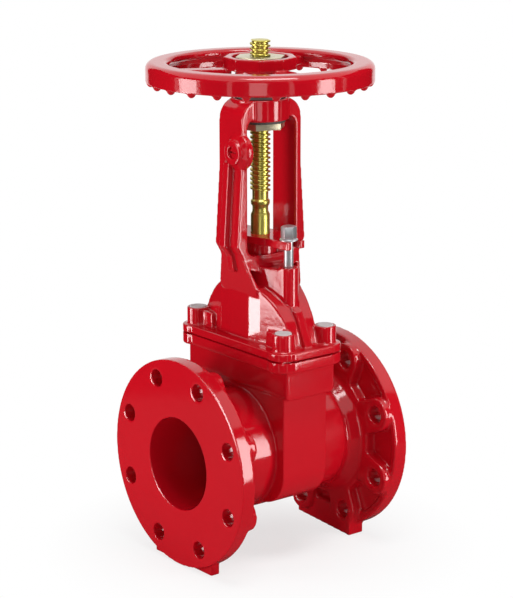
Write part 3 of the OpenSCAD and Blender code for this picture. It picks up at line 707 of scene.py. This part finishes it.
@dataclass
class Casing(SubAssembly):
    """The flanged body with its gate chamber.

    Attributes:
        margin: Depth of the machined faces, in metres.
        bore: Radius within which the waterway is machined.
        pad_depth: Where the bolt pads lie behind the flange face, from and to.
        pad_radius: Their distance from the axis, from and to.
        pad_top: Height below which they lie.
    """

    margin: float = 1.3 * MM
    bore: float = 53 * MM
    pad_depth: tuple = (14 * MM, 45 * MM)
    pad_radius: tuple = (56 * MM, 112 * MM)
    pad_top: float = 235 * MM

    def build(self) -> None:
        """Builds the body casting, with crisp flange faces and a crisp joint face."""
        obj = casting_copy(self.frame, "body", "casing")
        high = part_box("body")[1]
        inner, top = high[0] - self.margin, high[2] - self.margin

        def machined(p: np.ndarray) -> np.ndarray:
            """Picks the flange faces, the joint face and the waterway."""
            near_bore = np.hypot(p[:, 1], p[:, 2] - AXIS) < self.bore
            return (np.abs(p[:, 0]) > inner) | (p[:, 2] > top) | near_bore

        def pads(p: np.ndarray) -> np.ndarray:
            """Picks the backs of the flanges with their bolt pads."""
            radius, depth = np.hypot(p[:, 1], p[:, 2] - AXIS), high[0] - np.abs(p[:, 0])
            deep = (depth > self.pad_depth[0]) & (depth < self.pad_depth[1])
            ring = (radius > self.pad_radius[0]) & (radius < self.pad_radius[1])
            return deep & ring & (p[:, 2] < self.pad_top)

        soften(obj, Skin(1.2 * MM, 9, 195000, machined, pads, 25))
        self.keep(obj, RED, Body.VALVE, "body")


@dataclass
class BonnetYoke(SubAssembly):
    """The bonnet with its dome and yoke, the gasket, and the plug in the lug.

    Heights are measured from the bonnet's foot, in metres.

    Attributes:
        margin: Depth of the machined joint face.
        lip: Height of the joint flange's top.
        shoulder: Height of the dome's shoulder.
        dome_half_y: Half the width of the dome that is smoothed on.
        pillar_zone: Greatest X and least Y of a pillar's foot.
        dome_top: Height of the dome's top.
        pocket: X and height above the dome of a pocket's corners.
        pocket_half_y: Half the pockets' width.
        box_side: Where the web touches the stuffing box.
        pillar_side: Where it touches a pillar.
        web_levels: Height of the web's foot and top.
        packing_r: Radius of the room round the stem and packing.
        room_r: Radius of the gate's hollow.
        room_z: Height of the hollow's middle.
        room_top: Height of its flat top.
        room_half_x: Half its thickness.
    """

    margin: float = 1.0 * MM
    lip: float = 14 * MM
    shoulder: float = 62 * MM
    dome_half_y: float = 62 * MM
    pillar_zone: tuple = (12 * MM, 20 * MM)
    dome_top: float = 66 * MM
    pocket: tuple = ((10 * MM, 0), (26 * MM, 0), (32.5 * MM, 20 * MM), (18.5 * MM, 15 * MM),
                     (10 * MM, 15 * MM))
    pocket_half_y: float = 45 * MM
    box_side: tuple = (24.6 * MM, 8.3 * MM)
    pillar_side: tuple = (9.9 * MM, 51.6 * MM)
    web_levels: tuple = (25 * MM, 88 * MM)
    packing_r: float = 22 * MM
    room_r: float = 57.7 * MM
    room_z: float = 15 * MM
    room_top: float = 49.2 * MM
    room_half_x: float = 23.2 * MM

    def web(self, low: float, high: float) -> Obj:
        """The web whose flat sides run from the stuffing box to the two pillars, touching both.

        Args:
            low: Height of its foot.
            high: Height of its top.

        Returns:
            The closed web.
        """
        x, y = self.box_side
        end_x, end_y = self.pillar_side
        corners = [(-x, -y), (-end_x, -end_y), (end_x, -end_y), (x, -y), (x, y), (end_x, end_y),
                   (-end_x, end_y), (-x, y)]
        return prism("web", [(cx, cy, low) for cx, cy in corners], (0, 0, high - low))

    def gate_room(self, z0: float) -> Obj:
        """The arched hollow inside the dome, which the raised gate fills.

        Args:
            z0: Height of the bonnet's foot.

        Returns:
            The closed hollow, a little wider than the dome's own.
        """
        r, half_x, foot = self.room_r, self.room_half_x, z0 - MM
        arc = [(r * math.cos(math.radians(t)), r * math.sin(math.radians(t))) for t in range(0, 181, 6)]
        arch = [(y, z0 + min(self.room_z + z, self.room_top)) for y, z in arc]
        corners = [(-half_x, y, z) for y, z in [(r, foot), *arch, (-r, foot)]]
        return prism("gate_room", corners, (2 * half_x, 0, 0))

    def shape_web(self, obj: Obj) -> None:
        """Opens the pockets under the yoke's foot and adds the web between them.

        Args:
            obj: The casting.
        """
        z0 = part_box("bonnet")[0][2]
        foot, far = z0 + self.dome_top + 0.5 * MM, z0 + 0.1
        for side in (-1, 1):
            corners = [(side * x, -self.pocket_half_y, foot + z) for x, z in self.pocket]
            pocket = prism("pocket", corners, (0, 2 * self.pocket_half_y, 0))
            combine(pocket, self.web(z0, far), Solids.DIFFERENCE)
            combine(obj, pocket, Solids.DIFFERENCE)
        web = self.web(z0 + self.web_levels[0], z0 + self.web_levels[1])
        combine(web, drum("packing_room", self.packing_r, z0 - MM, far), Solids.DIFFERENCE)
        combine(web, self.gate_room(z0), Solids.DIFFERENCE)
        combine(obj, web, Solids.UNION)

    def build(self) -> None:
        """Builds the casting and dresses the small pieces."""
        obj = casting_copy(self.frame, "bonnet", "bonnet_yoke")
        self.shape_web(obj)
        z0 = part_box("bonnet")[0][2]

        def machined(p: np.ndarray) -> np.ndarray:
            """Picks the joint face."""
            return p[:, 2] < z0 + self.margin

        def mellow(p: np.ndarray) -> np.ndarray:
            """Picks the dome, but for the feet of its pillars."""
            x, y = np.abs(p[:, 0]), np.abs(p[:, 1])
            level = (p[:, 2] > z0 + self.lip) & (p[:, 2] < z0 + self.shoulder)
            pillar = (x <= self.pillar_zone[0]) & (y >= self.pillar_zone[1])
            return level & (y < self.dome_half_y) & ~pillar

        soften(obj, Skin(0.8 * MM, 9, 195000, machined, mellow, 24))
        self.keep(obj, RED, Body.VALVE, "bonnet")
        self.dress_nodes(RED, "bonnet_gasket", "lug_plug")


@dataclass
class BonnetBolts(SubAssembly):
    """Four socket screws, each under a plug of wax.

    Attributes:
        plugs: How many there are.
        shoulder: The poured edge: inset from the rim and depth below the top.
        dish: Depth of the hollow top.
        hollow: The dish's points: share of the radius and share of the depth.
    """

    plugs: int = 4
    shoulder: tuple = ((0, 0.5 * MM), (0.3 * MM, 0.1 * MM), (1.0 * MM, 0))
    dish: float = 0.7 * MM
    hollow: tuple = ((0.7, 0.4), (0.35, 0.8), (0, 1))

    def build(self) -> None:
        """Builds one wax plug, copies it to every screw, and dresses the screws."""
        first = self.wax_plug("wax_seal_1", *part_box("wax_plug_1"))
        home = middle(*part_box("wax_plug_1"))
        seals = [first]
        for i in range(2, self.plugs + 1):
            x, y = middle(*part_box(f"wax_plug_{i}"))
            seals.append(twin(first, f"wax_seal_{i}", (x - home[0], y - home[1])))
        for i, seal in enumerate(seals, 1):
            self.dress_nodes(ZINC, f"bonnet_bolt_{i}")
            self.keep(seal, WAX, Body.VALVE, f"wax_plug_{i}")

    def wax_plug(self, name: str, low: tuple, high: tuple) -> Obj:
        """Builds a plug: a poured disc with a round shoulder and a shallow dish.

        Args:
            name: The plug's name.
            low: Lowest corner of its box.
            high: Highest corner of its box.

        Returns:
            The new plug.
        """
        r, foot, top = (high[0] - low[0]) / 2, low[2], high[2]
        outline = [(0, foot), (r, foot), *((r - inset, top - drop) for inset, drop in self.shoulder),
                   *((r * share, top - self.dish * drop) for share, drop in self.hollow)]
        plug = lathe(name, outline, 48, middle(low, high))
        smooth(plug, 50)
        return plug


@dataclass
class GlandSet(SubAssembly):
    """The gland, its packing, and two flanged hexagon bolts with washers.

    Attributes:
        head_turn: Angle of a head's first corner, in degrees.
        chamfer: How far the head's chamfer comes in.
        chamfer_drop: How far it comes down, measured outside the corners.
        shank_r: Radius of the shank.
        point: Radius of the shank's end and length of its taper.
        washer_bore: Radius of a washer's hole.
        washer_edge: Height of a washer's upright edge and of the bevel's foot, from its foot.
        washer_slope: Inset of the bevel's foot and head.
    """

    head_turn: float = 21.4
    chamfer: float = 1.1 * MM
    chamfer_drop: float = 3.2 * MM
    shank_r: float = 4.95 * MM
    point: tuple = (4.3 * MM, 1.2 * MM)
    washer_bore: float = 5.35 * MM
    washer_edge: tuple = (0.9 * MM, 1.3 * MM)
    washer_slope: tuple = (0.5 * MM, 2.2 * MM)

    def build(self) -> None:
        """Builds the gland and one bolt and washer, and copies both to the other side."""
        obj = casting_copy(self.frame, "gland", "gland_follower")
        soften(obj, Skin(0.8 * MM, 3, 90000))
        self.keep(obj, RED, Body.VALVE, "gland")
        self.dress_nodes(RUBBER, "gland_packing")
        for node, name, make in (("gland_bolt", "gland_screw", self.bolt),
                                 ("gland_washer", "gland_flange", self.washer)):
            x, y = middle(*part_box(f"{node}_1"))
            far_x, far_y = middle(*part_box(f"{node}_2"))
            first = make(f"{name}_1")
            second = twin(first, f"{name}_2", (far_x - x, far_y - y))
            self.keep(first, ZINC, Body.VALVE, f"{node}_1")
            self.keep(second, ZINC, Body.VALVE, f"{node}_2")

    def bolt(self, name: str) -> Obj:
        """Builds the first bolt: a hexagon head with a chamfer, on a pointed shank.

        Args:
            name: The bolt's name.

        Returns:
            The new bolt.
        """
        low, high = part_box("gland_bolt_1")
        at, corner, top = middle(low, high), (high[1] - low[1]) / 2, high[2]
        head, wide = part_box("gland_washer_1")[1][2], corner + 2 * MM
        hexagon = drum("bolt_hexagon", corner, head, top, at, 6, self.head_turn)
        cone = lathe("bolt_cone", [(0, head - MM), (wide, head - MM), (wide, top - self.chamfer_drop),
                                   (corner - self.chamfer, top), (0, top)], 64, at)
        combine(hexagon, cone, Solids.SHARED)
        crisp(hexagon, 0.25 * MM, 25)
        end_r, taper = self.point
        shank = lathe("bolt_shank", [(0, low[2]), (end_r, low[2]), (self.shank_r, low[2] + taper),
                                     (self.shank_r, head + MM), (0, head + MM)], 48, at)
        bolt = join(name, hexagon, shank)
        smooth(bolt, 40)
        return bolt

    def washer(self, name: str) -> Obj:
        """Builds the first washer: a flange that slopes up to the head.

        Args:
            name: The washer's name.

        Returns:
            The new washer.
        """
        low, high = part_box("gland_washer_1")
        r, z0, z1, bore = (high[0] - low[0]) / 2, low[2], high[2], self.washer_bore
        edge, bevel = self.washer_edge
        inset, head_inset = self.washer_slope
        ring = lathe(name, [(bore, z0), (r, z0), (r, z0 + edge), (r - inset, z0 + bevel),
                            (r - head_inset, z1), (bore, z1), (bore, z0)], 64, middle(low, high))
        smooth(ring, 35)
        return ring


@dataclass
class ThreadedStem(SubAssembly):
    """The rising stem with a left-hand trapezoid thread, and the gate on its end.

    Attributes:
        pitch: Rise of the thread in a turn.
        depth: Depth of the thread.
        edge: How far the crest's edges are rounded off.
        steps: Steps in a turn.
        below_crown: Height of the bonnet's top above the thread's lower end.
        shaft_inset: How far the plain shaft lies inside the crest.
        foot: The shaft's end in the gate: radius and height above the foot.
        foot_top: Height above the foot where the plain shaft begins.
        collar: The shaft under the thread: inset and height from the thread's lower end.
        flank: One turn's outline: share of the depth, further inset, and share of the pitch.
        tip: Inset and height of the chamfer at the upper end.
    """

    pitch: float = 5 * MM
    depth: float = 2.3 * MM
    edge: float = 0.15 * MM
    steps: int = 64
    below_crown: float = 101 * MM
    shaft_inset: float = 0.7 * MM
    foot: tuple = ((0, 0), (6.4 * MM, 0), (7 * MM, 0.6 * MM), (7 * MM, 36 * MM))
    foot_top: float = 36.2 * MM
    collar: tuple = (
        (0, -26 * MM), (0.3 * MM, -25.4 * MM), (1.6 * MM, -22.5 * MM), (1.7 * MM, -19.5 * MM),
        (1.6 * MM, -17 * MM), (0.2 * MM, -14.7 * MM), (0, -14.2 * MM), (0, -10.9 * MM),
        (0.4 * MM, -10.4 * MM), (1.6 * MM, -9.2 * MM), (1.6 * MM, MM))
    flank: tuple = ((1, 0, 0.0), (1, 0, 0.16), (0, 1, 0.33), (0, 0, 0.37), (0, 0, 0.60), (0, 1, 0.64),
                    (1, 0, 0.81), (1, 0, 1.0))
    tip: tuple = (1.4 * MM, 1.6 * MM)

    def build(self) -> None:
        """Builds the stem and dresses the gate's pieces."""
        low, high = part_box("stem")
        self.stem(low[2], high[2], (high[0] - low[0]) / 2)
        for node, finish in (("gate_core", IRON), ("gate_rubber", RUBBER), ("gate_nut", BRONZE),
                             ("gate_pin", ZINC)):
            self.dress_nodes(finish, node)

    def stem(self, foot: float, top: float, crest: float) -> None:
        """Builds the threaded length and the plain shaft as one piece.

        Args:
            foot: Height of the stem's lower end.
            top: Height of its upper end.
            crest: Outer radius of the thread.
        """
        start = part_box("bonnet")[1][2] - self.below_crown
        thread = self.thread(start, top, crest)
        r = crest - self.shaft_inset
        end = [(radius, foot + z) for radius, z in self.foot]
        neck = [(r - inset, start + z) for inset, z in self.collar]
        shaft = lathe("stem_shaft", [*end, (r, foot + self.foot_top), *neck, (0, start + MM)])
        stem = join("threaded_stem", thread, shaft)
        smooth(stem, 32)
        self.keep(stem, BRASS, Body.RISING, "stem")

    def thread(self, low: float, high: float, crest: float) -> Obj:
        """Winds one turn's outline into a left-hand thread and trims both ends flat.

        Args:
            low: Height of the thread's lower end.
            high: Height of its upper end.
            crest: Outer radius.

        Returns:
            The closed thread.
        """
        p = self.pitch
        turns = math.ceil((high - low) / p) + 3
        outline = [(crest - self.depth * deep - self.edge * edge, 0, low + (rise - 1.5) * p)
                   for deep, edge, rise in self.flank]
        obj = wire("stem_thread", outline)
        bpy.ops.object.mode_set(mode="OBJECT")
        apply(obj, "SCREW", axis="Z", angle=-2 * math.pi, screw_offset=p, iterations=turns,
              steps=self.steps, render_steps=self.steps, use_merge_vertices=True, merge_threshold=MERGE)
        mesh_edit(obj, merge=MERGE)
        bpy.ops.object.mode_set(mode="EDIT")
        for height, above in ((low, False), (high, True)):
            bpy.ops.mesh.select_all(action="SELECT")
            bpy.ops.mesh.bisect(plane_co=(0, 0, height), plane_no=(0, 0, 1), use_fill=True,
                                clear_inner=not above, clear_outer=above)
        bpy.ops.object.mode_set(mode="OBJECT")
        mesh_edit(obj, outward=True)
        # The upper end is turned down to a short chamfer.
        inset, drop = self.tip
        wide = crest + MM
        cone = [(0, low - p), (wide, low - p), (wide, high - drop), (crest - inset, high), (0, high)]
        combine(obj, lathe("thread_chamfer", cone), Solids.SHARED)
        return obj


@dataclass
class Drive(SubAssembly):
    """The stem nut, its thrust washers, the handwheel, and the nut that holds it."""

    def build(self) -> None:
        """Builds the handwheel and the turned pieces."""
        wheel = casting_copy(self.frame, "handwheel", "hand_wheel")
        soften(wheel, Skin(1.0 * MM, 6, 180000))
        self.keep(wheel, RED, Body.DRIVE, "handwheel")
        for node, name in (("stem_nut", "yoke_nut"), ("wheel_nut", "wheel_lock_nut")):
            obj = casting_copy(self.frame, node, name)
            apply(obj, "DECIMATE", decimate_type="DISSOLVE", angle_limit=math.radians(1))
            crisp(obj, 0.5 * MM, 35)
            self.keep(obj, BRONZE, Body.DRIVE, node)
        self.dress_nodes(ZINC, "wheel_washer")
        self.dress_nodes(IRON, "lower_thrust_washer", "upper_thrust_washer")


# ---------------------------------------------------------------- studio


@dataclass(frozen=True)
class Lamp:
    """An area lamp that faces the valve.

    Attributes:
        name: Its name.
        bearing: Angle from the camera's bearing, in degrees, positive to the right.
        height: Height above the floor, in metres.
        distance: Distance from the stem, in metres.
        size: Width and height, in metres.
        watts: Power.
    """

    name: str
    bearing: float
    height: float
    distance: float
    size: tuple
    watts: float


LAMPS = (Lamp("left_box", -73, 0.34, 1.5, (0.56, 0.94), 13.2),
         Lamp("low_left_box", -86, -0.2, 1.5, (0.26, 0.4), 4.2),
         Lamp("right_box", 66, 0.35, 1.5, (0.44, 1.1), 13),
         Lamp("front_box", -2, 0.45, 2.3, (0.7, 1.2), 5),
         Lamp("top_box", 20, 1.9, 0.5, (0.9, 0.6), 16))


@dataclass
class Studio:
    """A white floor and backdrop, soft lamps, dark cards and the camera.

    Attributes:
        azimuth: The camera's direction round the valve, in degrees.
        elevation: Its height above the level, in degrees.
        roll: Its roll, in degrees.
        camera_at: Its place, in metres.
        lens: Its focal length, in millimetres.
        aim: The point that the lamps face.
        world_strength: The world's light.
        table: Radius of the table top.
        table_fade: Radii between which the table turns into glow.
        table_glow: Share of glow in its middle.
        table_mirrored: The table's shade in reflections.
        card_shade: The cards' shade.
        card_size: Their width and height.
        card_place: Their distance from the stem and the height of their middle.
        card_bearings: Their bearings from the camera, in degrees.
    """

    azimuth: float = -38.53
    elevation: float = 14.30
    roll: float = -0.07
    camera_at: tuple = (-1.36925, -1.71279, 0.72396 + AXIS)
    lens: float = 2075.8 * 36 / 598
    aim: tuple = (0, 0, 0.28)
    world_strength: float = 0.30
    table: float = 0.7
    table_fade: tuple = (0.035, 0.245)
    table_glow: float = 0.65
    table_mirrored: float = 0.12
    card_shade: float = 0.02
    card_size: tuple = (3.4, 4.2)
    card_place: tuple = (3.2, 0.5)
    card_bearings: tuple = (-120, -60, 0, 60, 120)

    def axes(self) -> tuple:
        """The camera's right, up and backward directions.

        Returns:
            Three unit vectors.
        """
        a, e, t = (math.radians(v) for v in (self.azimuth, self.elevation, self.roll))
        back = Vector((math.sin(a) * math.cos(e), -math.cos(a) * math.cos(e), math.sin(e)))
        right = Vector((math.cos(a), math.sin(a), 0))
        up = back.cross(right)
        return right * math.cos(t) + up * math.sin(t), up * math.cos(t) - right * math.sin(t), back

    def camera(self) -> None:
        """Adds the camera and makes it the scene's."""
        obj = bpy.data.objects.new("camera", bpy.data.cameras.new("camera"))
        bpy.context.scene.collection.objects.link(obj)
        matrix = Matrix(self.axes()).transposed().to_4x4()
        matrix.translation = Vector(self.camera_at)
        obj.matrix_world = matrix
        obj.data.sensor_width = 36
        obj.data.sensor_fit = "AUTO"
        obj.data.lens = self.lens
        bpy.context.scene.camera = obj

    def towards(self, bearing: float) -> float:
        """The angle about Z, in radians, of a bearing from the camera."""
        return math.radians(self.azimuth - 90 + bearing)

    def hang(self, lamp: Lamp) -> None:
        """Adds an area lamp.

        Args:
            lamp: The lamp.
        """
        light = bpy.data.lights.new(lamp.name, "AREA")
        light.shape, light.energy = "RECTANGLE", lamp.watts
        light.size, light.size_y = lamp.size
        obj = bpy.data.objects.new(lamp.name, light)
        bpy.context.scene.collection.objects.link(obj)
        angle = self.towards(lamp.bearing)
        place = Vector((lamp.distance * math.cos(angle), lamp.distance * math.sin(angle), lamp.height))
        obj.location = place
        obj.rotation_euler = (Vector(self.aim) - place).to_track_quat("-Z", "Y").to_euler()
        obj.visible_camera = False

    def card(self, name: str, bearing: float) -> None:
        """Stands a dark card that only reflections see, so that gloss keeps its depth.

        Args:
            name: The card's name.
            bearing: Its bearing from the camera, in degrees.
        """
        bpy.ops.object.select_all(action="DESELECT")
        bpy.ops.mesh.primitive_plane_add(size=1)
        obj = bpy.context.object
        obj.name = name
        angle, (distance, height) = self.towards(bearing), self.card_place
        obj.scale = (*self.card_size, 1)
        obj.rotation_euler = (math.pi / 2, 0, angle + math.pi / 2)
        obj.location = (distance * math.cos(angle), distance * math.sin(angle), height)
        settle(obj)
        obj.data.materials.append(self.card_paint())
        obj.visible_camera = obj.visible_diffuse = obj.visible_shadow = obj.visible_transmission = False

    def card_paint(self) -> bpy.types.Material:
        """The cards' matt material, built on first use.

        Returns:
            The Blender material.
        """
        found = bpy.data.materials.get("studio_card")
        if found:
            return found
        material = bpy.data.materials.new("studio_card")
        material.use_nodes = True
        shader = material.node_tree.nodes["Principled BSDF"]
        shader.inputs["Base Color"].default_value = (*[self.card_shade] * 3, 1)
        shader.inputs["Roughness"].default_value = 1.0
        shader.inputs["Specular IOR Level"].default_value = 0.0
        return material

    def floor(self) -> None:
        """Adds a round table top."""
        bpy.ops.object.select_all(action="DESELECT")
        bpy.ops.mesh.primitive_circle_add(vertices=128, radius=self.table, fill_type="NGON",
                                          location=(0, 0, -0.2 * MM))
        obj = bpy.context.object
        obj.name = "studio_floor"
        settle(obj)
        obj.data.materials.append(self.table_paint())

    def table_paint(self) -> bpy.types.Material:
        """The table's material: white to the camera but for the shadow, dark in reflections.

        Returns:
            The Blender material.
        """
        material = bpy.data.materials.new("studio_white")
        material.use_nodes = True
        nodes, link = material.node_tree.nodes, material.node_tree.links.new
        shader, out = nodes["Principled BSDF"], nodes["Material Output"]
        shader.inputs["Base Color"].default_value = (0.9, 0.9, 0.9, 1)
        shader.inputs["Roughness"].default_value = 0.9
        place, radius, rim, path = new_nodes(nodes, "TexCoord", "VectorMath", "MapRange", "LightPath")
        amount, glow, dark = new_nodes(nodes, "Math", "Emission", "BsdfDiffuse")
        side, clear = new_nodes(nodes, "NewGeometry", "BsdfTransparent")
        # The glow takes over away from the valve, so that the table's edge doesn't show.
        radius.operation, amount.operation = "LENGTH", "MULTIPLY"
        link(place.outputs["Object"], radius.inputs[0])
        link(radius.outputs["Value"], rim.inputs["Value"])
        rim.inputs["From Min"].default_value, rim.inputs["From Max"].default_value = self.table_fade
        rim.inputs["To Min"].default_value, rim.inputs["To Max"].default_value = self.table_glow, 1.0
        link(path.outputs["Is Camera Ray"], amount.inputs[0])
        link(rim.outputs["Result"], amount.inputs[1])
        glow.inputs["Color"].default_value = (1, 1, 1, 1)
        glow.inputs["Strength"].default_value = 1.0
        # Gloss sees the table as a dark one, so that the feet keep their colour.
        dark.inputs["Color"].default_value = (*[self.table_mirrored] * 3, 1)
        # From underneath, the table is clear.
        shown = shader.outputs[0]
        for share, other in ((amount.outputs[0], glow), (path.outputs["Is Glossy Ray"], dark),
                             (side.outputs["Backfacing"], clear)):
            mix = nodes.new("ShaderNodeMixShader")
            link(share, mix.inputs["Fac"])
            link(shown, mix.inputs[1])
            link(other.outputs[0], mix.inputs[2])
            shown = mix.outputs[0]
        link(shown, out.inputs["Surface"])
        return material

    def world(self) -> None:
        """Adds a world: white to the camera, in reflections and through glass, soft grey as light."""
        world = bpy.data.worlds.new("studio_world")
        bpy.context.scene.world = world
        world.use_nodes = True
        nodes, link = world.node_tree.nodes, world.node_tree.links.new
        back, (path, either, seen, amount) = nodes["Background"], new_nodes(
            nodes, "LightPath", "Math", "Math", "MapRange")
        for node in (either, seen):
            node.operation, node.use_clamp = "ADD", True
        link(path.outputs["Is Camera Ray"], either.inputs[0])
        link(path.outputs["Is Glossy Ray"], either.inputs[1])
        link(either.outputs[0], seen.inputs[0])
        link(path.outputs["Is Transmission Ray"], seen.inputs[1])
        link(seen.outputs[0], amount.inputs["Value"])
        amount.inputs["To Min"].default_value = self.world_strength
        amount.inputs["To Max"].default_value = 1.0
        back.inputs["Color"].default_value = (1, 1, 1, 1)
        link(amount.outputs["Result"], back.inputs["Strength"])

    def build(self) -> None:
        """Builds the whole studio."""
        self.camera()
        self.floor()
        self.world()
        for lamp in LAMPS:
            self.hang(lamp)
        for i, bearing in enumerate(self.card_bearings, 1):
            self.card(f"studio_flag_{i}", bearing)
        bpy.context.scene.view_settings.view_transform = "Standard"


def main() -> None:
    """Builds every sub-assembly and the studio in order."""
    logging.basicConfig(level=logging.INFO, format="%(name)s: %(message)s")
    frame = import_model()
    for kind in (Casing, BonnetYoke, BonnetBolts, GlandSet, ThreadedStem, Drive):
        part = kind(frame)
        part.build()
        LOG.info("%s made %s", kind.__name__, ", ".join(part.made))
    Studio().build()


if __name__ == "__main__":
    main()
